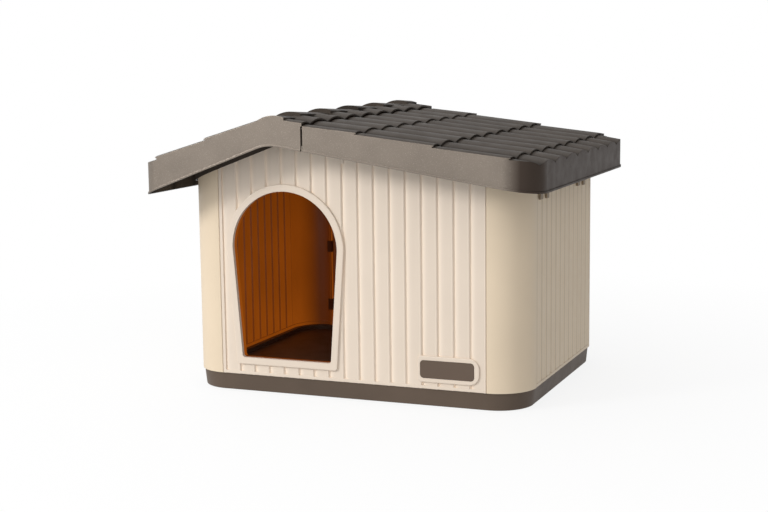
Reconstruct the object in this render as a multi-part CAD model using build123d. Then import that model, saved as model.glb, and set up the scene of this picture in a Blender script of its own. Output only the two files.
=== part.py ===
from build123d import *
import os
from math import atan2, cos, degrees, hypot, radians, sin, sqrt

os.makedirs("parts", exist_ok=True)

# A knock-down plastic kennel: a tray base, four ribbed wall panels and a tiled roof in two shells.
# The right-hand roof shell is a lid. Millimetres, +Z up, the doorway faces -Y.
# Everything is modelled about the cabin's centre line and moved once, when it is written,
# so that the part's origin is under the middle of the roof.

# ---- cabin -------------------------------------------------------------------------------
SEAM_X = 301.0            # where a front or rear panel meets a side panel
CORNER_R = 82.0           # plain rounded corners, part of the side panels
CABIN_X = SEAM_X + CORNER_R
CABIN_Y = 298.0
FRONT_BOARDS = 17
FRONT_BOARD = 35.0
SIDE_BOARDS = 12
WALL = 4.0                # skin thickness
GROOVE = 4.0              # how far a board's left edge lies behind its right edge
STEP_RUN = 2.0            # the step between two boards leans by this much
COVE = 15.0               # width of the hollow that brings a board back to its face
BEAD = 4.0                # rounded right edge of a board
FACE = 0.6                # the face lies this much behind the bead
NOSE = 0.9                # and the bead's right end by this much
SHIFT_IN = 3.0            # the inside face steps this much before the outside face
SEAM_GAP = 0.3            # each panel stops this far from the seam plane
SEAM_VEE = 2.0            # side of the square that cuts a small vee along each seam
FLANGE = 3.5              # inward flanges along the seams
FLANGE_DEPTH = 17.0
WALL_FOOT = 38.5          # the walls stand on the tray's rim at this height
RAIL_TOP = 45.5           # plain rail along the bottom of every wall
RAIL_ROUND = 1.6
TAB_THICK = 3.0           # tongues that drop through slots in the tray's rim
TAB_LONG = 40.0
TAB_DROP = 9.0
TAB_SET = 5.0             # depth of the tongues behind the outer face
TAB_PLAY = 0.3

# ---- doorway, seen from the front ----------------------------------------------------------
DOOR_X = -145.7
DOOR_R = 122.0            # half round head
DOOR_SPRING = 317.0       # height where the head's arc ends
DOOR_SILL = 77.0
DOOR_HALF_SILL = 104.0    # the opening narrows towards its sill
DOOR_BAND = 15.0
DOOR_PROUD = 4.0
DOOR_RETURN = 16.0
SILL_R = 7.0

# ---- name plate ----------------------------------------------------------------------------
PLATE_X = 217.5
PLATE_Z = 80.5
PLATE_W = 117.0
PLATE_H = 37.0
PLATE_R = 8.0
PLATE_T = 2.6
BEZEL_W = 134.0
BEZEL_H = 55.0
BEZEL_X = 220.0
BEZEL_R = 22.0
BEZEL_PROUD = 3.0

# ---- tray base -----------------------------------------------------------------------------
BASE_INSET = 3.3          # the tray's rim lies inside the wall faces
BASE_DRAFT = 3.9          # and its sides lean in by this much at the ground
BASE_UNDERSIDE = 1.5
FLOOR_Z = 28.0
DECK_Z = 34.0             # raised sleeping deck
DECK_INSET = 85.0
RIM = 17.0
SKIN = 4.0
FOOT_R = 12.0
FOOT_H = 5.5
FOOT_X = 318.0
FOOT_Y = 232.0

# ---- roof ----------------------------------------------------------------------------------
EAVE_LEFT = -440.0
EAVE_RIGHT = 432.4
ROOF_Y = 384.0
EDGE_LIP = 2.0            # thin lip round the fascia's lower edge
EDGE_LIP_H = 4.0
SHELL = 3.5
CORNER_LEFT_R = 40.0
CORNER_RIGHT_R = 73.0
LEFT_SLOPE = 0.3745       # fascia's lower edge, rise over run
RIGHT_SLOPE = 0.1572
LEFT_Z0 = 595.2           # height of each lower edge produced to the cabin's centre line
RIGHT_Z0 = 520.1
APEX_R = 90.0
WAVES = 8                 # whole barrels from front to rear, with part of one at each end
WAVE = 88.3
FIRST_VALLEY = -340.2
VALLEY = 2.5              # the valleys lie this much below the verge
TILE_RISE = 9.5
VERGE_CREST = 3.6
TILE_EDGE = 2.2           # thickness of a tile's lower edge, which overhangs the next course
OVERHANG = 3.0
CAPS = 6                  # ridge caps, each tapering down to the next one's front
CAP_PITCH = 153.6
CAP_FIRST = -300.0 - CAP_PITCH
CAP_TAPER = 9.0
CAP_LAP = 1.01            # a cap's rear end runs on inside the next cap
CAP_LEFT = (-165.0, 594.0)
CAP_TOP = (-131.0, 606.5)
CAP_RIGHT = (-101.5, 602.5)
DEEP = 240.0              # the roof's blocks reach down this far before they are hollowed
CAP_FOOT = 350.0
CAP_HOLLOW = [(-152.0, 587.5), (-140.0, 592.0), (-116.0, 592.0), (-112.0, 589.0)]
# each course of tiles: upper end and lower end, (x, z) along the verge
LEFT_COURSES = [
    ((-155.0, 591.9), (-286.5, 552.1)),
    ((-278.0, 550.2), (-404.0, 512.1)),
    ((-396.0, 507.4), (-445.0, 492.5)),
]
LIP_COURSE = ((-112.0, 592.9), (-61.5, 586.5))
LID_COURSES = [
    ((-60.5, 580.4), (57.0, 568.4)),
    ((49.0, 565.6), (221.0, 545.3)),
    ((213.0, 541.5), (377.0, 522.9)),
    ((369.0, 519.9), (440.0, 507.8)),
]
MAIN_END = -64.5          # the fixed shell's fascia ends here, its lip runs on to the lip edge
MAIN_RIB = (-84.0, -81.0)  # rib across the fixed shell, beyond the lid's tongue
LIP_UNDER = 580.7
TAB_END = -71.5           # rain tongue of the lid, under the lip
TAB_HALF_Y = 378.0
TAB_Z = 579.0
CORNER_SWEEP = 26.6       # the lid's verge is rounded to this radius about the hinge
STIFFENER = 3.0

# ---- lid hinge -----------------------------------------------------------------------------
CATCH_HALF = 32.0         # half the width of an eave catch
CATCH_Y = (-172.0, 128.0)
HINGE_X = -37.5
HINGE_Z = 567.0
PIN_R = 3.0
HEAD_R = 4.5
PIN_PLAY = 0.05
EAR_R = 5.5
EAR_Y = (287.0, 297.0)
LUG_Y = (281.4, 286.4)
LUG_R = 6.0
NOTCH = (-84.0, 530.0)    # the wall tops are cut down beside the hinge, where the lid swings
ROOF_REST = 2.7           # drop of the wall tops to the underside of the tiles' valleys
SKIRT_PLAY = 2.0          # the roof's inner skirts pass outside the walls
SKIRT = 3.5
SKIRT_DROP = 2.5          # and reach this far below the fascia's lower edge
BIG = 1000.0

ORIGIN_X = (EAVE_LEFT + EAVE_RIGHT) / 2


def save(shape, node):
    """Write one node, moved so that the origin lies under the middle of the roof."""
    moved = Pos(-ORIGIN_X, 0, 0) * shape
    export_step(moved, f"parts/{node}.step")


def slab_xz(points, y0=-BIG, y1=BIG):
    """A prism along Y with the given (x, z) outline."""
    face = make_face(Polyline(*[(x, y0, z) for x, z in points], close=True))
    return extrude(face, amount=y1 - y0, dir=(0, 1, 0))


def block(x0, x1, y0, y1, z0, z1):
    """A box given by its limits."""
    size = Box(x1 - x0, y1 - y0, z1 - z0)
    return Pos((x0 + x1) / 2, (y0 + y1) / 2, (z0 + z1) / 2) * size


def pin_y(x, z, radius, y0, y1):
    """A cylinder along Y."""
    bar = Cylinder(radius, abs(y1 - y0), rotation=(90, 0, 0))
    return Pos(x, (y0 + y1) / 2, z) * bar


def both_ends(piece):
    """A front piece and its mirror image at the rear."""
    return piece + mirror(piece, Plane.XZ)


def plate(half_x, half_y, radius, z0, z1, taper=0.0):
    """A rounded rectangle about the cabin's centre, extruded upwards."""
    outline = Plane.XY.offset(z0) * RectangleRounded(2 * half_x, 2 * half_y, radius)
    return extrude(outline, amount=z1 - z0, taper=taper)


# ---- walls ---------------------------------------------------------------------------------
def board_edges(start, count, pitch, depth, shift):
    """Edges of a row of boards along +X. Depth 0 is the outer face; inwards is +Y."""
    edges = []
    for i in range(count):
        left = start + i * pitch + (STEP_RUN - shift if i > 0 else 0)
        right = start + (i + 1) * pitch - (shift if i < count - 1 else 0)
        groove = (left, depth + GROOVE)
        face = (left + COVE, depth + FACE)
        bead = (right - BEAD, depth + FACE)
        nose = (right, depth + NOSE)
        edges.append(ThreePointArc(groove, (left + 0.37 * COVE, depth + 0.45 * GROOVE), face))
        edges.append(Line(face, bead))
        edges.append(ThreePointArc(bead, (right - 0.45 * BEAD, depth), nose))
        if i < count - 1:
            edges.append(Line(nose, (right + STEP_RUN, depth + GROOVE)))
    return edges


def board_sheet(start, count, pitch, z0, z1):
    """A ribbed sheet of constant thickness, its outer face towards -Y at y = 0."""
    end = start + count * pitch
    outer = board_edges(start, count, pitch, 0.0, 0.0)
    inner = board_edges(start, count, pitch, WALL, SHIFT_IN)
    left = Line((start, GROOVE), (start, GROOVE + WALL))
    right = Line((end, NOSE), (end, NOSE + WALL))
    face = make_face(outer + [right] + inner + [left])
    return extrude(Plane.XY.offset(z0) * face, amount=z1 - z0)


def gable(c):
    """The part of space below the roof that the walls may fill, dropped by c."""
    notch_x, notch_z = NOTCH
    ear = HINGE_X + EAR_R
    return slab_xz([
        (-BIG, -10), (-BIG, 285.0 - c), (-404.0, 501.0 - c), (-286.5, 543.3 - c), (-167.0, 584.0 - c),
        (-140.0, 588.5 - c), (notch_x, 585.5 - c), (notch_x, notch_z), (ear, notch_z),
        (ear, 572.9 - c), (57.0, 560.2 - c), (221.0, 536.4 - c), (388.0, 512.2 - c),
        (BIG, 424.0 - c), (BIG, -10),
    ])


GABLE = gable(ROOF_REST)
PANEL_TOP = 600.0


def front_panel():
    """Front or rear panel without its openings: boards, plain margins, rail, flanges and tabs."""
    face_y = -CABIN_Y
    edge = SEAM_X - SEAM_GAP
    boards_left = SEAM_X - FRONT_BOARDS * FRONT_BOARD
    sheet = Pos(0, face_y, 0) * board_sheet(boards_left, FRONT_BOARDS, FRONT_BOARD, WALL_FOOT, PANEL_TOP)
    sheet &= block(-edge, edge, -BIG, BIG, 0, BIG)
    margin = block(-edge, boards_left + 0.5, face_y + 0.3, face_y + GROOVE + WALL, WALL_FOOT, PANEL_TOP)
    rail = block(-edge, edge, face_y, face_y + GROOVE + WALL, WALL_FOOT, RAIL_TOP)
    rail = fillet(rail.edges().filter_by(Axis.X).group_by(Axis.Y)[0].group_by(Axis.Z)[0], RAIL_ROUND)
    panel = sheet + margin + rail
    for side in (-1, 1):
        inner = side * (edge - FLANGE)
        x0, x1 = sorted((side * edge, inner))
        panel += block(x0, x1, face_y + 1.0, face_y + FLANGE_DEPTH, WALL_FOOT, PANEL_TOP)
    panel -= seam_vees()
    panel &= GABLE
    for x in (-220.0, 0.0, 220.0):
        panel += wall_tab(x)
    return panel


def seam_vees():
    """A small vee cut along all four seams."""
    bar = Rot(0, 0, 45) * Box(SEAM_VEE, SEAM_VEE, 2 * BIG)
    places = [(sx * SEAM_X, sy * CABIN_Y) for sx in (-1, 1) for sy in (-1, 1)]
    return [Pos(x, y, 0) * bar for x, y in places]


def wall_tab(x):
    """Tongue under a front or rear panel."""
    y0 = -CABIN_Y + TAB_SET
    return block(x - TAB_LONG / 2, x + TAB_LONG / 2, y0, y0 + TAB_THICK, WALL_FOOT - TAB_DROP, RAIL_TOP)


def door_face(grow, y):
    """The doorway's outline, grown outwards, in the plane at y."""
    lean = (DOOR_R - DOOR_HALF_SILL) / (DOOR_SPRING - DOOR_SILL)
    radius = DOOR_R + grow
    sill_z = DOOR_SILL - grow
    half_sill = radius - lean * (DOOR_SPRING - sill_z)
    left = (DOOR_X - radius, y, DOOR_SPRING)
    right = (DOOR_X + radius, y, DOOR_SPRING)
    head = ThreePointArc(left, (DOOR_X, y, DOOR_SPRING + radius), right)
    jambs = Polyline(right, (DOOR_X + half_sill, y, sill_z), (DOOR_X - half_sill, y, sill_z), left)
    face = make_face(head.edges() + jambs.edges())
    sharp = face.vertices().group_by(Axis.Z)[0]
    return fillet(sharp, SILL_R)


def door_prism(grow, y0, y1):
    """The doorway's outline as a prism along Y."""
    return extrude(door_face(grow, y0), amount=y1 - y0, dir=(0, 1, 0))


def rounded_tablet(x, z, width, height, radius, y0, y1):
    """A rounded rectangle standing in the plane of the front wall."""
    outline = Plane((x, y0, z), x_dir=(1, 0, 0), z_dir=(0, 1, 0)) * RectangleRounded(width, height, radius)
    return extrude(outline, amount=y1 - y0, dir=(0, 1, 0))


def bezel():
    """Raised surround of the name plate: small radii on the left, large on the right."""
    y0 = -CABIN_Y - BEZEL_PROUD
    y1 = -CABIN_Y + GROOVE
    outline = Plane((BEZEL_X, y0, PLATE_Z), x_dir=(1, 0, 0), z_dir=(0, 1, 0)) * Rectangle(BEZEL_W, BEZEL_H)
    corners = outline.vertices().group_by(Axis.X)
    outline = fillet(corners[-1], BEZEL_R)
    outline = fillet(outline.vertices().group_by(Axis.X)[0], PLATE_R)
    body = extrude(outline, amount=y1 - y0, dir=(0, 1, 0))
    return fillet(body.faces().sort_by(Axis.Y)[0].edges(), 1.5)


def make_front_wall():
    """Front panel with the doorway and the name plate's surround."""
    wall = front_panel()
    front = -CABIN_Y - DOOR_PROUD
    band = door_prism(DOOR_BAND, front, -CABIN_Y + GROOVE + WALL - 1.0)
    band = fillet(band.faces().sort_by(Axis.Y)[0].edges(), 1.8)
    lining = door_prism(SKIN, front + 2.0, -CABIN_Y + DOOR_RETURN)
    wall += band
    wall += lining
    wall += bezel()
    wall -= door_prism(0.0, -BIG, 0.0)
    pocket_y = -CABIN_Y - BEZEL_PROUD + PLATE_T - 0.6
    wall -= rounded_tablet(PLATE_X, PLATE_Z, PLATE_W + 0.4, PLATE_H + 0.4, PLATE_R, -BIG, pocket_y)
    return wall + hinge_ear()


def make_rear_wall():
    """Rear panel: the same moulding turned round, its gable following the same roof."""
    wall = mirror(front_panel(), Plane.XZ)
    return wall + mirror(hinge_ear(), Plane.XZ)


def hinge_ear():
    """Ear on the front wall's top edge, beside the notch, bored for the hinge pin."""
    y0, y1 = -EAR_Y[1], -EAR_Y[0]
    disc = pin_y(HINGE_X, HINGE_Z, EAR_R, y0, y1)
    web = slab_xz([
        (HINGE_X - 3.6, HINGE_Z - 4.0), (HINGE_X + 5.6, 530.0), (HINGE_X + 5.6, 500.0),
        (HINGE_X + 30.0, 500.0), (HINGE_X + 30.0, 568.0), (HINGE_X + 0.5, HINGE_Z + EAR_R - 0.2),
    ], y0, y1)
    bore = pin_y(HINGE_X, HINGE_Z, PIN_R + PIN_PLAY / 2, y0 - 2, y1 + 2)
    return disc + web - bore


def ring_side(half_x, half_y, radius, thick, z0, z1):
    """The right half of a rounded ring, from seam to seam."""
    ring = plate(half_x, half_y, radius, z0, z1) - plate(
        half_x - thick, half_y - thick, radius - thick, z0 - 1, z1 + 1)
    return ring & block(SEAM_X + SEAM_GAP, BIG, -BIG, BIG, 0, BIG)


def make_side_wall(right):
    """Side panel with both rounded corners."""
    straight = CABIN_Y - CORNER_R
    pitch = 2 * straight / SIDE_BOARDS
    corners = ring_side(CABIN_X, CABIN_Y, CORNER_R, WALL, WALL_FOOT, PANEL_TOP)
    corners -= block(SEAM_X, BIG, -straight, straight, 0, BIG)
    sheet = board_sheet(-straight, SIDE_BOARDS, pitch, WALL_FOOT, PANEL_TOP)
    sheet = Pos(CABIN_X, 0, 0) * Rot(0, 0, 90) * sheet
    rail = ring_side(CABIN_X, CABIN_Y, CORNER_R, GROOVE + WALL, WALL_FOOT, RAIL_TOP)
    low_outer = rail.faces().sort_by(Axis.Z)[0].edges().filter_by(
        lambda e: e.center().Z < WALL_FOOT + 0.1 and on_outer_ring(e))
    rail = fillet(low_outer, RAIL_ROUND)
    inner_x = CABIN_X - GROOVE - WALL
    joint = block(inner_x, CABIN_X - 0.6, -straight - 2.0, -straight + 0.4, WALL_FOOT, PANEL_TOP)
    inner_x = CABIN_X - 1.0 - WALL
    joint += block(inner_x, CABIN_X - 1.0, straight - 0.4, straight + 2.0, WALL_FOOT, PANEL_TOP)
    panel = corners + sheet + rail + joint
    inner = SEAM_X + SEAM_GAP
    for side in (-1, 1):
        y0, y1 = sorted((side * (CABIN_Y - 1.0), side * (CABIN_Y - FLANGE_DEPTH)))
        panel += block(inner, inner + FLANGE, y0, y1, WALL_FOOT, PANEL_TOP)
    if not right:
        panel = mirror(panel, Plane.YZ)
    panel -= seam_vees()
    panel &= GABLE
    sign = 1 if right else -1
    for y in (-150.0, 150.0):
        x0, x1 = sorted((sign * (CABIN_X - TAB_SET), sign * (CABIN_X - TAB_SET - TAB_THICK)))
        panel += block(x0, x1, y - TAB_LONG / 2, y + TAB_LONG / 2, WALL_FOOT - TAB_DROP, RAIL_TOP)
    return panel


def on_outer_ring(edge):
    """True for an edge on the outer face of the right-hand ring."""
    c = edge @ 0.5
    corner_x = CABIN_X - CORNER_R
    corner_y = CABIN_Y - CORNER_R
    if abs(c.Y) < corner_y:
        return abs(c.X - CABIN_X) < 0.1
    return abs(hypot(c.X - corner_x, abs(c.Y) - corner_y) - CORNER_R) < 0.1


def make_corner_clips(side_x, side_y):
    """Three spring clips that grip the two flanges of one seam."""
    half = FLANGE + SEAM_GAP
    play = 0.05
    leg = 2.0
    y_in = CABIN_Y - FLANGE_DEPTH
    clips = None
    for z in (92.0, 240.0, 400.0):
        outer = block(-half - play - leg, half + play + leg, y_in - leg - play, y_in + 8.0, z - 14.0, z + 14.0)
        slot = block(-half - play, half + play, y_in - play, BIG, z - 20.0, z + 20.0)
        clip = outer - slot
        if side_y < 0:
            clip = mirror(clip, Plane.XZ)
        clip = Pos(side_x * SEAM_X, 0, 0) * clip
        clips = clip if clips is None else clips + clip
    return clips


# ---- base ----------------------------------------------------------------------------------
def tray_solid(inset, z0, z1):
    """The tray's outer form, or the same form set in by a skin thickness."""
    lean = BASE_DRAFT / WALL_FOOT
    low = BASE_INSET + lean * (WALL_FOOT - z0) + inset
    half_x, half_y, radius = CABIN_X - low, CABIN_Y - low, CORNER_R - low
    angle = degrees(atan2(lean, 1.0))
    return plate(half_x, half_y, radius, z0, z1, taper=-angle)


def make_base():
    """Tray: drafted plinth, rim for the walls, floor, raised deck, ribs below, bosses for the feet."""
    body = tray_solid(0.0, BASE_UNDERSIDE, WALL_FOOT)
    body = fillet(body.faces().sort_by(Axis.Z)[0].edges(), 2.5)
    half_x, half_y = CABIN_X - BASE_INSET - RIM, CABIN_Y - BASE_INSET - RIM
    radius = CORNER_R - BASE_INSET - RIM
    body -= plate(half_x, half_y, radius, FLOOR_Z, BIG)
    deck_x, deck_y = CABIN_X - DECK_INSET, CABIN_Y - DECK_INSET
    deck = plate(deck_x, deck_y, 30.0, FLOOR_Z - 1, DECK_Z)
    body += chamfer(deck.faces().sort_by(Axis.Z)[-1].edges(), 3.0)
    under = tray_solid(SKIN, BASE_UNDERSIDE - 1, FLOOR_Z - SKIN)
    rim_hollow = tray_solid(SKIN, FLOOR_Z - SKIN - 1, WALL_FOOT - SKIN)
    rim_hollow -= plate(half_x + SKIN, half_y + SKIN, radius + SKIN, 0, BIG)
    body -= under
    body -= rim_hollow
    body -= plate(deck_x - SKIN, deck_y - SKIN, 26.0, FLOOR_Z - SKIN - 1, DECK_Z - SKIN)
    web = tray_solid(SKIN - 1, 7.0, FLOOR_Z - SKIN + 0.5)
    ribs = block(-1.5, 1.5, -BIG, BIG, 7.0, FLOOR_Z - SKIN + 0.5)
    for x in (-220.0, 220.0):
        ribs += Pos(x, 0, 0) * block(-1.5, 1.5, -BIG, BIG, 7.0, FLOOR_Z - SKIN + 0.5)
    for y in (-150.0, 150.0):
        ribs += block(-BIG, BIG, y - 1.5, y + 1.5, 7.0, FLOOR_Z - SKIN + 0.5)
    body += ribs & web
    ribs_deck = block(-1.5, 1.5, -deck_y + 2, deck_y - 2, FLOOR_Z - SKIN, DECK_Z - SKIN + 0.5)
    for y in (-150.0, 150.0):
        ribs_deck += block(-deck_x + 2, deck_x - 2, y - 1.5, y + 1.5, FLOOR_Z - SKIN, DECK_Z - SKIN + 0.5)
    body += ribs_deck
    for x, y in foot_places():
        body += Pos(x, y, (BASE_UNDERSIDE + FLOOR_Z) / 2 - 1) * Cylinder(
            FOOT_R + 3, FLOOR_Z - BASE_UNDERSIDE - 2)
        body -= Pos(x, y, FOOT_H / 2) * Cylinder(FOOT_R + 0.1, FOOT_H)
    body -= tab_slots()
    return body


def tab_slots():
    """Slots in the rim for every wall's tongues."""
    play = TAB_PLAY
    deep = 2 * TAB_DROP + 2.0
    slots = None
    for sign in (-1, 1):
        y = sign * (CABIN_Y - TAB_SET - TAB_THICK / 2)
        for x in (-220.0, 0.0, 220.0):
            cut = Pos(x, y, WALL_FOOT) * Box(TAB_LONG + 2 * play, TAB_THICK + 2 * play, deep)
            slots = cut if slots is None else slots + cut
        x = sign * (CABIN_X - TAB_SET - TAB_THICK / 2)
        for y in (-150.0, 150.0):
            slots += Pos(x, y, WALL_FOOT) * Box(TAB_THICK + 2 * play, TAB_LONG + 2 * play, deep)
    return slots


def foot_places():
    """Centres of the four feet."""
    return [(sx * FOOT_X, sy * FOOT_Y) for sx in (-1, 1) for sy in (-1, 1)]


def make_foot(x, y):
    """Round rubber foot pressed into its boss, standing just proud of the tray."""
    foot = Pos(x, y, FOOT_H / 2) * Cylinder(FOOT_R, FOOT_H)
    return fillet(foot.edges().group_by(Axis.Z)[0], 0.6)


# ---- roof ----------------------------------------------------------------------------------
def wave_edges(x, z):
    """Edges of the barrels' profile in the plane at x, from the front verge to the rear one."""
    low = z - VALLEY
    ends = [FIRST_VALLEY + i * WAVE for i in range(WAVES + 1)]
    front = ThreePointArc((x, -ROOF_Y, z), (x, (ends[0] - ROOF_Y) / 2, z + VERGE_CREST), (x, ends[0], low))
    edges = [front]
    for y in ends[:-1]:
        edges.append(ThreePointArc((x, y, low), (x, y + WAVE / 2, low + TILE_RISE), (x, y + WAVE, low)))
    last = ends[-1]
    middle = (x, (last + ROOF_Y) / 2, z + 0.4 * VERGE_CREST)
    edges.append(ThreePointArc((x, last, low), middle, (x, ROOF_Y, z + VERGE_CREST)))
    return edges


def tile_block(upper, lower, drop=0.0, back=0.0):
    """One course of barrel tiles as a deep block: it runs down the slope from upper to lower."""
    slope = (lower[1] - upper[1]) / (lower[0] - upper[0])
    toward = 1.0 if lower[0] > upper[0] else -1.0
    x0 = upper[0] - toward * back
    z0 = upper[1] - toward * back * slope - drop
    waves = wave_edges(x0, z0)
    start, end = waves[0] @ 0, waves[-1] @ 1
    bottom = z0 - DEEP
    sides = Polyline(tuple(end), (x0, ROOF_Y, bottom), (x0, -ROOF_Y, bottom), tuple(start))
    face = make_face(waves + list(sides.edges()))
    run = Vector(lower[0] - upper[0], 0, lower[1] - upper[1])
    return extrude(face, amount=run.length, dir=run.normalized())


def shadow_gap(upper, lower):
    """What is cut from under a course's lower edge, so that the edge overhangs the next course."""
    toward = 1.0 if lower[0] > upper[0] else -1.0
    slope = (lower[1] - upper[1]) / (lower[0] - upper[0])
    start = (lower[0] - toward * OVERHANG, lower[1] - toward * OVERHANG * slope)
    stop = (lower[0] + toward, lower[1] + toward * slope)
    return tile_block(start, stop, drop=TILE_EDGE)


def roof_outline(inset, z0, z1):
    """The roof in plan, with larger corners at the right-hand eave."""
    x0, x1, half_y = EAVE_LEFT + inset, EAVE_RIGHT - inset, ROOF_Y - inset
    outline = Plane.XY.offset(z0) * (Pos((x0 + x1) / 2, 0) * Rectangle(x1 - x0, 2 * half_y))
    outline = fillet(outline.vertices().group_by(Axis.X)[-1], CORNER_RIGHT_R - inset)
    left = [v for v in outline.vertices() if v.X < x0 + 1]
    outline = fillet(left, CORNER_LEFT_R - inset)
    return extrude(outline, amount=z1 - z0)


def lower_edge(x):
    """Height of the fascia's lower edge at x."""
    return min(LEFT_Z0 + LEFT_SLOPE * x, RIGHT_Z0 - RIGHT_SLOPE * x)


def below_roof(lift, deep=700.0):
    """Everything below the fascia's lower edge, raised by lift, rounded at the apex."""
    apex_x = (RIGHT_Z0 - LEFT_Z0) / (LEFT_SLOPE + RIGHT_SLOPE)
    left, right = -600.0, 600.0
    outline = Polyline(
        (left, -BIG, lower_edge(left) + lift), (apex_x, -BIG, lower_edge(apex_x) + lift),
        (right, -BIG, lower_edge(right) + lift), (right, -BIG, -deep), (left, -BIG, -deep), close=True)
    face = make_face(outline)
    apex = [v for v in face.vertices() if abs(v.X - apex_x) < 1]
    face = fillet(apex, APEX_R)
    return extrude(face, amount=2 * BIG, dir=(0, 1, 0))


def outer_form(courses):
    """All the courses of one shell, from the ridge down, each overhanging the next."""
    form = None
    for upper, lower in courses:
        piece = tile_block(upper, lower)
        if abs(lower[0]) < EAVE_RIGHT:
            piece -= shadow_gap(upper, lower)
        form = piece if form is None else form + piece
    return form


def inner_form(courses):
    """The same, dropped and set back for the shell's inside face."""
    form = None
    for upper, lower in courses:
        piece = tile_block(upper, lower, SHELL, SHELL + OVERHANG)
        form = piece if form is None else form + piece
    return form


def ridge_caps():
    """Ridge caps: a rounded top with a steep right side, each tapering down to the next."""
    caps = None
    for i in range(CAPS):
        y = CAP_FIRST + i * CAP_PITCH
        left, top, right = [(x, y, z) for x, z in (CAP_LEFT, CAP_TOP, CAP_RIGHT)]
        crown = ThreePointArc(left, top, right)
        foot = Polyline(right, (CAP_RIGHT[0], y, CAP_FOOT), (CAP_LEFT[0], y, CAP_FOOT), left)
        face = make_face(list(crown.edges()) + list(foot.edges()))
        run = Vector(0, CAP_PITCH, -CAP_TAPER) * CAP_LAP
        cap = extrude(face, amount=run.length, dir=run.normalized())
        caps = cap if caps is None else caps + cap
    return caps


def fascia_rim(x0, x1):
    """The thin lip round the fascia's lower edge, between two stations along X."""
    rim = roof_outline(0.0, 300.0, 700.0) & below_roof(EDGE_LIP_H)
    return rim & block(x0, x1, -BIG, BIG, 300.0, 700.0)


def skirt(x0, x1):
    """Inner skirt that drops outside the wall tops, between two stations along X."""
    near, far = SKIRT_PLAY, SKIRT_PLAY + SKIRT
    ring = plate(CABIN_X + far, CABIN_Y + far, CORNER_R + far, 400.0, 620.0)
    ring -= plate(CABIN_X + near, CABIN_Y + near, CORNER_R + near, 390.0, 630.0)
    ring &= block(x0, x1, -BIG, BIG, 0, BIG)
    return ring - below_roof(-SKIRT_DROP)


def make_roof_main():
    """Fixed shell: left slope, ridge caps and the lip that covers the lid's upper edge."""
    lip_x, lip_z = LIP_COURSE[1]
    lip_slope = (lip_z - LIP_COURSE[0][1]) / (lip_x - LIP_COURSE[0][0])
    outer = outer_form(LEFT_COURSES) + tile_block(*LIP_COURSE) + ridge_caps()
    outer &= roof_outline(EDGE_LIP, 0, BIG)
    outer += fascia_rim(-BIG, lip_x)
    outer -= below_roof(0.0)
    cap_hollow = slab_xz([(CAP_HOLLOW[0][0], CAP_FOOT), *CAP_HOLLOW, (CAP_HOLLOW[-1][0], CAP_FOOT)])
    beyond = (lip_x + 20.0, lip_z + 20.0 * lip_slope)
    under_lip = tile_block(LIP_COURSE[0], beyond, SHELL, SHELL)
    inner = (inner_form(LEFT_COURSES) + under_lip + cap_hollow) & roof_outline(EDGE_LIP + SHELL, 0, BIG)
    rib = block(*MAIN_RIB, -ROOF_Y + 4, ROOF_Y - 4, 556.0, BIG)
    shell = (outer - inner) + ((skirt(-BIG, -90.0) + rib) & outer)
    return shell - block(MAIN_END, BIG, -BIG, BIG, 0, LIP_UNDER)


def make_roof_lid():
    """Opening shell: right slope, with a rain tongue under the lip and lugs for the hinge pins."""
    upper_x, upper_z = LID_COURSES[0][0]
    outer = outer_form(LID_COURSES) & roof_outline(EDGE_LIP, 0, BIG)
    outer += fascia_rim(upper_x, BIG)
    outer -= below_roof(0.0)
    for y0, y1 in ((-BIG, -TAB_HALF_Y), (TAB_HALF_Y, BIG)):
        swept = pin_y(HINGE_X, HINGE_Z, CORNER_SWEEP, y0, y1)
        outer -= block(upper_x - 1.0, HINGE_X, y0, y1, HINGE_Z, BIG) - swept
    inner = inner_form(LID_COURSES) & roof_outline(EDGE_LIP + SHELL, 0, BIG)
    webs = skirt(HINGE_X + 9.0, BIG)
    for y in (-190.0, 0.0, 190.0):
        web = block(-20.0, CABIN_X - 20.0, y - STIFFENER / 2, y + STIFFENER / 2, 400.0, BIG)
        webs += web - below_roof(36.0)
    joint_x = upper_x + 2.0
    tongue = slab_xz([
        (TAB_END, TAB_Z), (joint_x, TAB_Z - 1.2), (joint_x, TAB_Z - 1.2 - SHELL), (TAB_END, TAB_Z - SHELL),
    ], -TAB_HALF_Y, TAB_HALF_Y)
    return (outer - inner) + ((webs + both_ends(hinge_lug())) & outer) + tongue


def hinge_lug():
    """Lug under the lid, inside the front wall's ear; its web is cut to the deck's outer face later."""
    y0, y1 = -LUG_Y[1], -LUG_Y[0]
    disc = pin_y(HINGE_X, HINGE_Z, LUG_R, y0, y1)
    web = block(HINGE_X - LUG_R, HINGE_X + LUG_R, y0, y1, HINGE_Z, HINGE_Z + 30.0)
    bore = pin_y(HINGE_X, HINGE_Z, PIN_R + PIN_PLAY, y0 - 1, y1 + 1)
    return disc + web - bore


def make_hinge_pin(front):
    """Headed pin pushed in from inside, through the lug into the ear."""
    head = pin_y(HINGE_X, HINGE_Z, HEAD_R, -LUG_Y[0] + 0.3, -LUG_Y[0] + 2.8)
    shank = pin_y(HINGE_X, HINGE_Z, PIN_R, -EAR_Y[1] + 0.5, -LUG_Y[0] + 0.5)
    pin = head + shank
    return pin if front else mirror(pin, Plane.XZ)


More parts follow.
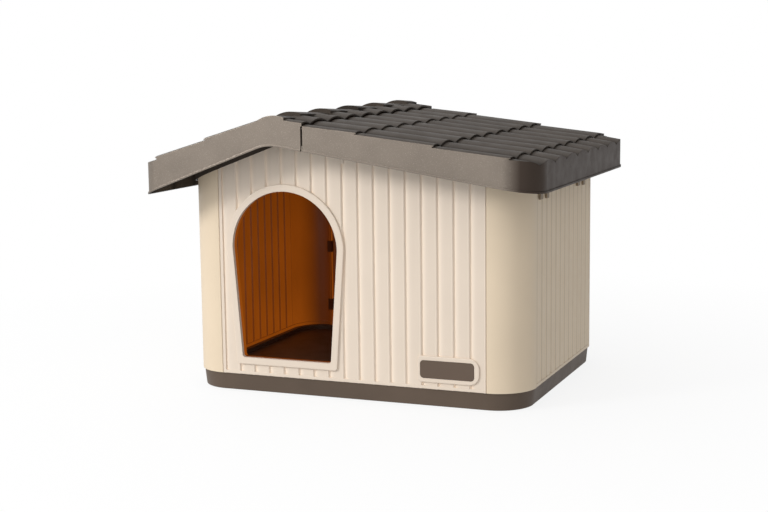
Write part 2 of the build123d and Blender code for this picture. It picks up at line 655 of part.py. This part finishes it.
def make_catch(y_centre, right):
    """Spring catch on the inner skirt: a saddle over the skirt's edge and two prongs down the wall."""
    wall_x = CABIN_X if right else -CABIN_X
    skirt_x = CABIN_X + SKIRT_PLAY if right else -(CABIN_X + SKIRT_PLAY)
    sign = 1 if right else -1
    edge_z = lower_edge(skirt_x + sign * SKIRT) - SKIRT_DROP - (0.6 if right else 1.4)
    half = CATCH_HALF
    play = 0.1
    outside = skirt_x + sign * (SKIRT + play)

    def part(xa, xb, y0, y1, z0, z1):
        xa, xb = sorted((xa, xb))
        return block(xa, xb, y_centre + y0, y_centre + y1, z0, z1)

    catch = part(outside, outside + sign * 2.5, -half, half, edge_z - 3.0, edge_z + 14.0)
    catch += part(wall_x + sign * 0.6, outside + sign * 2.5, -half, half, edge_z - 6.0, edge_z - play)
    near, far = wall_x + sign * 0.6, wall_x + sign * 4.2
    catch += part(near, far, -half, half, edge_z - 14.0, edge_z - play)
    catch += part(near, far, -half, -half + 20.0, edge_z - 29.0, edge_z - play)
    catch += part(near, far, half - 16.0, half, edge_z - 31.0, edge_z - play)
    return catch


# ---- write every node ------------------------------------------------------------------------
save(make_base(), "base_tray")
for place, (fx, fy) in zip(("left_front", "left_rear", "right_front", "right_rear"), foot_places()):
    save(make_foot(fx, fy), f"foot_{place}")
save(make_front_wall(), "front_wall")
save(make_rear_wall(), "rear_wall")
save(make_side_wall(False), "left_side_wall")
save(make_side_wall(True), "right_side_wall")
PLATE_FRONT = -CABIN_Y - BEZEL_PROUD - 0.6
save(rounded_tablet(PLATE_X, PLATE_Z, PLATE_W, PLATE_H, PLATE_R - 0.2, PLATE_FRONT, PLATE_FRONT + PLATE_T),
     "name_plate")
for label_x, sx in (("left", -1), ("right", 1)):
    for label_y, sy in (("front", -1), ("rear", 1)):
        save(make_corner_clips(sx, sy), f"corner_clips_{label_y}_{label_x}")
save(make_roof_main(), "roof_main")
save(make_roof_lid(), "roof_lid")
for label_y, is_front in (("front", True), ("rear", False)):
    save(make_hinge_pin(is_front), f"hinge_pin_{label_y}")
for label_x, is_right in (("left", False), ("right", True)):
    for label_y, catch_y in zip(("front", "rear"), CATCH_Y):
        save(make_catch(catch_y, is_right), f"eave_catch_{label_y}_{label_x}")
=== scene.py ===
import math

import bpy
from mathutils import Matrix, Vector

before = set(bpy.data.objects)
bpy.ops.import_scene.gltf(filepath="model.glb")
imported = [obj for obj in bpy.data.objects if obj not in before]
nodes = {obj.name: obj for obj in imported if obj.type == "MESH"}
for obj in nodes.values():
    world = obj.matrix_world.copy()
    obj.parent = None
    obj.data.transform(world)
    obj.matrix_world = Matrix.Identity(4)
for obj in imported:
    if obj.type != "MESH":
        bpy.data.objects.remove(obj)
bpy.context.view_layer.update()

# ---- camera: the viewing angle, in degrees, and the place, in metres -----------------------------
CAMERA_AT = Vector((1.208, -3.0713, 0.7416))
CAMERA_AZIMUTH = 22.053
CAMERA_ELEVATION = 8.181
CAMERA_ROLL = -0.696
CAMERA_LENS_MM = 68.81
SENSOR_MM = 36.0

# ---- colours, linear -----------------------------------------------------------------------------
CREAM = (0.77, 0.655, 0.54)
CREAM_WARM = (0.775, 0.635, 0.465)
TILE = (0.068, 0.054, 0.043)
# painted light: the tiles' brown, made paler on the upright fascia
FASCIA = (0.27, 0.228, 0.19)
FLECK = (0.50, 0.45, 0.39)
# painted shade: the roof's brown, made far darker where it faces down
UNDERSIDE = (0.030, 0.022, 0.016)
BASE = (0.112, 0.080, 0.058)
PLATE = (0.128, 0.090, 0.066)
CATCH = (0.30, 0.225, 0.15)
# dark brown, with an orange tint that is painted light, the amber light inside the cabin
CLIP = (0.12, 0.05, 0.02)
RUBBER = (0.02, 0.02, 0.02)
FLOOR = (0.93, 0.93, 0.93)

# ---- light and shade painted into the materials to match the photo, whatever the lights do -------
AMBER = (0.31, 0.080, 0.004)           # inside faces of the side walls
AMBER_DARK = (0.15, 0.028, 0.002)      # mixed in towards the front and rear walls
AMBER_GLOW = (0.15, 0.034, 0.002)      # emission inside, for daylight coming through the walls
GLOW_HEIGHT = (0.03, 0.5)              # metres up, where the glow is strongest and weakest
GLOW_STRENGTH = (1.25, 0.8)
GLOW_FRONT = 0.25                      # the front and rear walls' share of the sides' glow and amber
TILE_VALLEY = (0.012, 0.009, 0.007)    # between two barrels
FASCIA_SHADED = (0.085, 0.064, 0.052)  # where the fascia faces right
# painted light in the front and rear walls' grooves (lighter than the boards) and painted shade in
# the side walls' grooves (darker)
FRONT_GROOVE = 1.2                     # the grooves' colour beside the boards'
SIDE_GROOVE = 0.5

# ---- gloss and grain -----------------------------------------------------------------------------
EDGE_ROUND = 0.0012       # softened edges of the mouldings, metres
EDGE_SAMPLES = 6
GRAIN_STRENGTH = 0.25
GLOSS_RANGE = 0.05        # roughness varies this much either way
MOULDED_SPECULAR = 0.3
ROOF_SPECULAR = 0.1
FASCIA_METALLIC = 0.85
SHELL_ROUGH = 0.42

# ---- places on the walls and the roof, metres ----------------------------------------------------
CABIN_SHIFT = 0.0038      # the cabin's middle lies this far right of the roof's
STRAIGHT_X = 0.301        # the corners' rounding starts here
STRAIGHT_Y = 0.216
CORNER_R = 0.082
SKIN = 0.0042             # whatever lies deeper than this is inside
# depths over which the grooves' painted light and shade comes in
GROOVE_DEPTH = (0.0008, 0.0035)    # the groove's tint starts and is full at these depths
WAVE = 0.0883             # width of one barrel
FIRST_VALLEY = -0.3402
FASCIA_Y = (0.374, 0.377)          # the fascia lies beyond these, at the ends and at both eaves
FASCIA_LEFT_X = (-0.402, -0.405)
FASCIA_RIGHT_X = (0.386, 0.389)

# ---- surroundings --------------------------------------------------------------------------------
FLOOR_HALF = 30.0
FLOOR_BOUNCE = 0.6        # the floor lights the kennel less than it shows
FLOOR_FADE = (0.4, 1.6)   # metres out, between which the floor brightens to plain white
FLOOR_WHITE = (0.85, 1.0)
SHADE_SIDE = (0.8, 0.55, 0.0)      # the world lights less from this side, to the right and behind
SHADE_REACH = (-0.1, 0.75)
SHADE_LIGHT = (1.0, 0.2)
KEY_AT = (-2.5, -3.1, 2.2)
KEY_TARGET = (0, 0, 0.3)
KEY_SIZE = 1.0
KEY_WATTS = 75


class Nodes:
    """A small helper for building a node material."""

    def __init__(self, name):
        self.material = bpy.data.materials.new(name)
        self.material.use_nodes = True
        self.tree = self.material.node_tree
        self.tree.nodes.clear()
        self.out = self.add("ShaderNodeOutputMaterial")
        self.shader = self.add("ShaderNodeBsdfPrincipled")
        self.link(self.shader.outputs["BSDF"], self.out.inputs["Surface"])
        place = self.add("ShaderNodeTexCoord")
        self.coords = place.outputs["Object"]
        self.facing = place.outputs["Normal"]

    def add(self, kind, **values):
        node = self.tree.nodes.new(kind)
        for key, value in values.items():
            setattr(node, key, value)
        return node

    def link(self, a, b):
        self.tree.links.new(a, b)

    def noise(self, scale, detail=2.0, roughness=0.5):
        node = self.add("ShaderNodeTexNoise")
        node.inputs["Scale"].default_value = scale
        node.inputs["Detail"].default_value = detail
        node.inputs["Roughness"].default_value = roughness
        self.link(self.coords, node.inputs["Vector"])
        return node.outputs["Fac"]

    def ramp(self, fac, stops):
        node = self.add("ShaderNodeValToRGB")
        ramp = node.color_ramp
        for element, (position, colour) in zip(ramp.elements, stops):
            element.position = position
            element.color = (*colour, 1.0)
        self.link(fac, node.inputs["Fac"])
        return node.outputs["Color"]

    def spread(self, fac, low, high, to_low, to_high):
        """Maps low..high to to_low..to_high and holds the ends."""
        node = self.add("ShaderNodeMapRange")
        node.inputs["From Min"].default_value = low
        node.inputs["From Max"].default_value = high
        node.inputs["To Min"].default_value = to_low
        node.inputs["To Max"].default_value = to_high
        self.link(fac, node.inputs["Value"])
        return node.outputs["Result"]

    def bump(self, height, strength, distance, below):
        node = self.add("ShaderNodeBump")
        node.inputs["Strength"].default_value = strength
        node.inputs["Distance"].default_value = distance
        self.link(height, node.inputs["Height"])
        self.link(below, node.inputs["Normal"])
        return node.outputs["Normal"]

    def soft_edges(self):
        node = self.add("ShaderNodeBevel", samples=EDGE_SAMPLES)
        node.inputs["Radius"].default_value = EDGE_ROUND
        return node.outputs["Normal"]

    def mix(self, fac, a, b):
        """Blends two colours, each a constant or a socket."""
        node = self.add("ShaderNodeMix", data_type="RGBA")
        self.link(fac, node.inputs[0])
        for socket, colour in ((node.inputs[6], a), (node.inputs[7], b)):
            if isinstance(colour, tuple):
                socket.default_value = (*colour, 1.0)
            else:
                self.link(colour, socket)
        return node.outputs[2]

    def math(self, operation, a, b=0.0):
        node = self.add("ShaderNodeMath", operation=operation)
        for socket, value in zip(node.inputs, (a, b)):
            if isinstance(value, float):
                socket.default_value = value
            else:
                self.link(value, socket)
        return node.outputs[0]

    def vector(self, operation, a, b):
        """A vector sum, product or limit; each side is a constant or a socket."""
        node = self.add("ShaderNodeVectorMath", operation=operation)
        for socket, value in zip(node.inputs, (a, b)):
            if isinstance(value, tuple):
                socket.default_value = value
            else:
                self.link(value, socket)
        return node.outputs[0]

    def dot(self, a, b):
        node = self.add("ShaderNodeVectorMath", operation="DOT_PRODUCT")
        self.link(a, node.inputs[0])
        self.link(b, node.inputs[1])
        return node.outputs["Value"]

    def length(self, vector):
        node = self.add("ShaderNodeVectorMath", operation="LENGTH")
        self.link(vector, node.inputs[0])
        return node.outputs["Value"]

    def axis(self, vector, name):
        node = self.add("ShaderNodeSeparateXYZ")
        self.link(vector, node.inputs[0])
        return node.outputs[name]

    def mottled(self, colour, spread, scale=9.0):
        dark = tuple(c * (1 - spread) for c in colour)
        light = tuple(min(1.0, c * (1 + spread)) for c in colour)
        return self.ramp(self.noise(scale, 4.0), [(0.3, dark), (0.7, light)])

    def finish(self, colour, rough, grain, depth):
        """Colour, slightly uneven gloss, fine grain and soft edges."""
        self.link(colour, self.shader.inputs["Base Color"])
        gloss = self.spread(self.noise(30.0, 3.0), 0.3, 0.7, rough - GLOSS_RANGE, rough + GLOSS_RANGE)
        self.link(gloss, self.shader.inputs["Roughness"])
        normal = self.bump(self.noise(grain, 3.0, 0.6), GRAIN_STRENGTH, depth, self.soft_edges())
        self.link(normal, self.shader.inputs["Normal"])
        return self.material


def moulded(name, colour, spread, rough, grain, depth):
    """Moulded plastic with faint mottling."""
    m = Nodes(name)
    m.shader.inputs["Specular IOR Level"].default_value = MOULDED_SPECULAR
    return m.finish(m.mottled(colour, spread), rough, grain, depth)


def panel_plastic(name, colour, groove):
    """Cream plastic, with a painted tint in the grooves between the boards (painted light where
    groove is above 1, painted shade where it is below 1), and inside the cabin painted amber light
    with a painted glow.

    Inside and outside are told apart by place: a point's nearest spot on the box where the corners'
    rounding starts gives how far out the point lies and which way inward is.
    """
    m = Nodes(name)
    centred = m.vector("SUBTRACT", m.coords, (CABIN_SHIFT, 0, 0))
    nearest = m.vector("MAXIMUM", centred, (-STRAIGHT_X, -STRAIGHT_Y, -10.0))
    nearest = m.vector("MINIMUM", nearest, (STRAIGHT_X, STRAIGHT_Y, 10.0))
    inward = m.vector("SUBTRACT", nearest, centred)
    unit = m.add("ShaderNodeVectorMath", operation="NORMALIZE")
    m.link(inward, unit.inputs[0])
    faces_in = m.dot(unit.outputs[0], m.facing)
    reach = m.length(inward)
    deep = m.spread(reach, CORNER_R - SKIN, CORNER_R - SKIN - 0.0005, 0.0, 1.0)
    inside = m.math("MAXIMUM", deep, m.spread(faces_in, 0.25, 0.5, 0.0, 1.0))
    low = m.spread(m.axis(m.coords, "Z"), *GLOW_HEIGHT, *GLOW_STRENGTH)
    sideways = m.spread(m.math("ABSOLUTE", m.axis(m.facing, "X")), 0.4, 0.9, GLOW_FRONT, 1.0)
    streaks = m.math("MULTIPLY", sideways, m.spread(m.noise(5.0, 3.0), 0.3, 0.7, 0.85, 1.15))
    # painted light: the inside faces take an amber colour, darker towards the front and rear walls,
    # for daylight coming through the walls
    shown = m.mix(sideways, AMBER_DARK, AMBER)
    shallow, full = GROOVE_DEPTH
    # painted tint in the grooves: lighter than the boards where groove is above 1 (painted light),
    # darker where it is below 1 (painted shade)
    hollow = m.spread(reach, CORNER_R - shallow, CORNER_R - full, 0.0, 1.0)
    grooved = tuple(min(1.0, c * groove) for c in colour)
    outside = m.mix(hollow, m.mottled(colour, 0.02), grooved)
    # painted glow: the inside faces emit amber, strongest low down and in uneven streaks
    m.link(m.mix(inside, (0.0, 0.0, 0.0), AMBER_GLOW), m.shader.inputs["Emission Color"])
    m.link(m.math("MULTIPLY", low, streaks), m.shader.inputs["Emission Strength"])
    return m.finish(m.mix(inside, outside, shown), SHELL_ROUGH, 900.0, 0.0004)


def roof_plastic():
    """Dark tiles with painted shade in the valleys, a flecked fascia painted paler than the tiles
    (painted light) and painted dark where it faces right (painted shade), and an underside painted
    dark (painted shade).
    """
    m = Nodes("roof_tile")
    up = m.axis(m.facing, "Z")
    edge_y = m.spread(m.math("ABSOLUTE", m.axis(m.coords, "Y")), *FASCIA_Y, 0.0, 1.0)
    edge_left = m.spread(m.axis(m.coords, "X"), *FASCIA_LEFT_X, 0.0, 1.0)
    edge_right = m.spread(m.axis(m.coords, "X"), *FASCIA_RIGHT_X, 0.0, 1.0)
    edge = m.math("MAXIMUM", edge_y, m.math("MAXIMUM", edge_left, edge_right))
    outward = m.dot(m.vector("MULTIPLY", m.coords, (1, 1, 0)), m.facing)
    edge = m.math("MULTIPLY", edge, m.spread(outward, 0.0, 0.05, 0.0, 1.0))
    # painted light: upright faces at the edges take the paler fascia colour in place of the tiles'
    # brown
    fascia = m.math("MULTIPLY", edge, m.spread(up, 0.5, 0.2, 0.0, 1.0))
    # painted shade: faces turned down take the dark underside colour
    under = m.spread(up, -0.1, -0.4, 0.0, 1.0)
    # painted shade between the barrels: darker towards each valley
    along = m.math("DIVIDE", m.math("SUBTRACT", m.axis(m.coords, "Y"), FIRST_VALLEY), WAVE)
    off_crest = m.math("ABSOLUTE", m.math("SUBTRACT", m.math("FRACT", along), 0.5))
    valley = m.spread(off_crest, 0.30, 0.5, 0.0, 0.85)
    tiles = m.mix(valley, m.mottled(TILE, 0.14, 22.0), TILE_VALLEY)
    flecks = m.spread(m.noise(620.0, 1.0), 0.60, 0.72, 0.0, 0.55)
    # painted shade: the fascia turns dark where it faces right
    rightward = m.spread(m.axis(m.facing, "X"), 0.05, 0.5, 0.0, 1.0)
    face = m.mix(rightward, m.mix(flecks, m.mottled(FASCIA, 0.06), FLECK), FASCIA_SHADED)
    colour = m.mix(under, m.mix(fascia, tiles, face), UNDERSIDE)
    m.link(m.spread(fascia, 0.0, 1.0, 0.0, FASCIA_METALLIC), m.shader.inputs["Metallic"])
    m.shader.inputs["Specular IOR Level"].default_value = ROOF_SPECULAR
    return m.finish(colour, SHELL_ROUGH, 700.0, 0.0007)


def use(material, *names):
    """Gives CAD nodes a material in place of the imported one."""
    for name in names:
        mesh = nodes[name].data
        mesh.materials.clear()
        mesh.materials.append(material)


cream = panel_plastic("cream_panel", CREAM, FRONT_GROOVE)
cream_warm = panel_plastic("cream_side", CREAM_WARM, SIDE_GROOVE)
tile = roof_plastic()
base = moulded("base", BASE, 0.08, 0.45, 700.0, 0.0006)
plate = moulded("plate", PLATE, 0.05, 0.4, 700.0, 0.0004)
catch = moulded("catch", CATCH, 0.05, 0.45, 700.0, 0.0004)
clip = moulded("clip", CLIP, 0.05, 0.45, 700.0, 0.0004)
rubber = moulded("rubber", RUBBER, 0.1, 0.7, 500.0, 0.0005)

SIDES = ("left", "right")
ENDS = ("front", "rear")
use(cream, "front_wall", "rear_wall")
use(cream_warm, "left_side_wall", "right_side_wall")
use(tile, "roof_main", "roof_lid")
use(base, "base_tray")
use(plate, "name_plate")
use(clip, *(f"hinge_pin_{end}" for end in ENDS))
for side in SIDES:
    for end in ENDS:
        use(clip, f"corner_clips_{end}_{side}")
        use(catch, f"eave_catch_{end}_{side}")
        use(rubber, f"foot_{side}_{end}")


def make_floor():
    """A wide pale floor that brightens to plain white away from the kennel."""
    mesh = bpy.data.meshes.new("floor")
    half = FLOOR_HALF
    corners = [(-half, -half, 0), (half, -half, 0), (half, half, 0), (-half, half, 0)]
    mesh.from_pydata(corners, [], [(0, 1, 2, 3)])
    floor = bpy.data.objects.new("floor", mesh)
    bpy.context.scene.collection.objects.link(floor)
    m = Nodes("floor")
    m.shader.inputs["Base Color"].default_value = (*FLOOR, 1)
    m.shader.inputs["Roughness"].default_value = 0.9
    away = m.length(m.coords)
    seen = m.add("ShaderNodeLightPath").outputs["Is Camera Ray"]
    glow = m.add("ShaderNodeEmission")
    m.link(m.spread(seen, 0.0, 1.0, FLOOR_BOUNCE, 1.0), glow.inputs["Strength"])
    blend = m.add("ShaderNodeMixShader")
    m.link(m.spread(away, *FLOOR_FADE, *FLOOR_WHITE), blend.inputs[0])
    m.link(m.shader.outputs["BSDF"], blend.inputs[1])
    m.link(glow.outputs[0], blend.inputs[2])
    m.link(blend.outputs[0], m.out.inputs["Surface"])
    mesh.materials.append(m.material)


def make_key_light():
    """A square soft box in front, high on the left."""
    lamp = bpy.data.lights.new("key", "AREA")
    lamp.shape = "SQUARE"
    lamp.size = KEY_SIZE
    lamp.energy = KEY_WATTS
    light = bpy.data.objects.new("key", lamp)
    bpy.context.scene.collection.objects.link(light)
    light.location = KEY_AT
    aim = Vector(KEY_TARGET) - Vector(KEY_AT)
    light.rotation_euler = aim.to_track_quat("-Z", "Y").to_euler()


def make_world():
    """Surroundings that show white everywhere and light less from the right and behind."""
    world = bpy.data.worlds.new("studio")
    world.use_nodes = True
    tree = world.node_tree
    background = tree.nodes["Background"]
    background.inputs["Color"].default_value = (1, 1, 1, 1)
    direction = tree.nodes.new("ShaderNodeTexCoord")
    aside = tree.nodes.new("ShaderNodeVectorMath")
    aside.operation = "DOT_PRODUCT"
    aside.inputs[1].default_value = SHADE_SIDE
    fall = tree.nodes.new("ShaderNodeMapRange")
    fall.inputs["From Min"].default_value, fall.inputs["From Max"].default_value = SHADE_REACH
    fall.inputs["To Min"].default_value, fall.inputs["To Max"].default_value = SHADE_LIGHT
    seen = tree.nodes.new("ShaderNodeLightPath")
    strength = tree.nodes.new("ShaderNodeMath")
    strength.operation = "MAXIMUM"
    tree.links.new(direction.outputs["Generated"], aside.inputs[0])
    tree.links.new(aside.outputs["Value"], fall.inputs["Value"])
    tree.links.new(fall.outputs["Result"], strength.inputs[0])
    tree.links.new(seen.outputs["Is Camera Ray"], strength.inputs[1])
    tree.links.new(strength.outputs[0], background.inputs["Strength"])
    bpy.context.scene.world = world


def make_camera():
    """The photograph's viewing angle."""
    a = math.radians(CAMERA_AZIMUTH)
    e = math.radians(CAMERA_ELEVATION)
    r = math.radians(CAMERA_ROLL)
    back = Vector((math.sin(a) * math.cos(e), -math.cos(a) * math.cos(e), math.sin(e)))
    level = Vector((math.cos(a), math.sin(a), 0))
    upright = back.cross(level)
    right = math.cos(r) * level + math.sin(r) * upright
    up = -math.sin(r) * level + math.cos(r) * upright
    data = bpy.data.cameras.new("camera")
    data.lens = CAMERA_LENS_MM
    data.sensor_width = SENSOR_MM
    camera = bpy.data.objects.new("camera", data)
    turn = Matrix((right, up, back)).transposed()
    camera.matrix_world = Matrix.Translation(CAMERA_AT) @ turn.to_4x4()
    bpy.context.scene.collection.objects.link(camera)
    bpy.context.scene.camera = camera


make_floor()
make_world()
make_key_light()
make_camera()
bpy.context.scene.view_settings.view_transform = "Standard"
